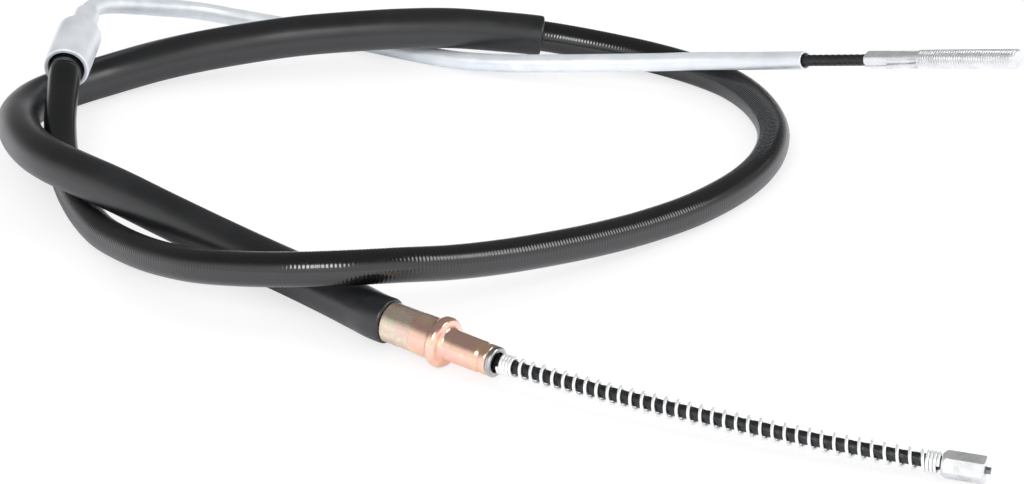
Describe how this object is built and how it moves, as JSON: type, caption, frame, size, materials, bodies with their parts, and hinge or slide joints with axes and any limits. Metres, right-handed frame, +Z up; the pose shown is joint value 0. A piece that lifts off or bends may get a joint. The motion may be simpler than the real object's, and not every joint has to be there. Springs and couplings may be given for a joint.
{
  "type": "parking brake cable",
  "caption": "Coiled parking brake cable: sleeved conduit, crimped ferrule, return spring with hex terminal, bent guide tube and threaded adjuster stud.",
  "frame": {"origin": "middle of the bounding box, on the surface that the cable lies on", "axes": "+Z up, +X towards the right of the picture, +Y away from its viewer, along the cable's longest extent as it lies"},
  "size_m": [0.4022, 0.4166, 0.0634],
  "materials": {
    "sleeve": "matte black rubber sleeve",
    "jacket": "glossy black plastic jacket with fine ribs",
    "coat": "black plastic coat over the strand",
    "armour": "spiral steel armour, inside the jacket",
    "strand": "steel wire strand",
    "passivated": "zinc with yellow and pink passivation",
    "zinc": "bright zinc plate",
    "spring_zinc": "bright zinc plated spring wire",
    "terminal_zinc": "satin zinc plate",
    "tube_zinc": "satin zinc plate with a faint blue cast"
  },
  "bodies": {
    "housing": {"conduit_jacket": "jacket", "conduit_armour": "armour", "outer_sleeve": "sleeve", "brake_ferrule": "passivated", "ferrule_end_ring": "zinc", "return_spring": "spring_zinc", "tube_ferrule": "tube_zinc", "guide_tube": "tube_zinc", "inner_cable_run": "coat"},
    "stud_end": {"adjuster_stud": "zinc", "stud_cable_coat": "coat", "stud_cable_core": "strand"},
    "brake_end": {"brake_terminal": "terminal_zinc", "brake_cable_coat": "coat", "brake_cable_core": "strand"}
  },
  "joints": [
    {"name": "stud_pull", "type": "slide", "parent": "housing", "child": "stud_end", "axis": [0.68, -0.681, 0.272], "range_m": [0, 0.02], "stiffness_N_per_m": 2000},
    {"name": "brake_pull", "type": "hinge", "parent": "housing", "child": "brake_end", "pos_m": [0.33403, 0.37807, -0.04149], "axis": [-0.0494, -0.0649, -0.9967], "range_deg": [0, 1.88], "deforming": ["return_spring"]}
  ],
  "couplings": [
    {"joint": "brake_pull", "follows": "stud_pull", "rad_per_m": 1.6441}
  ]
}
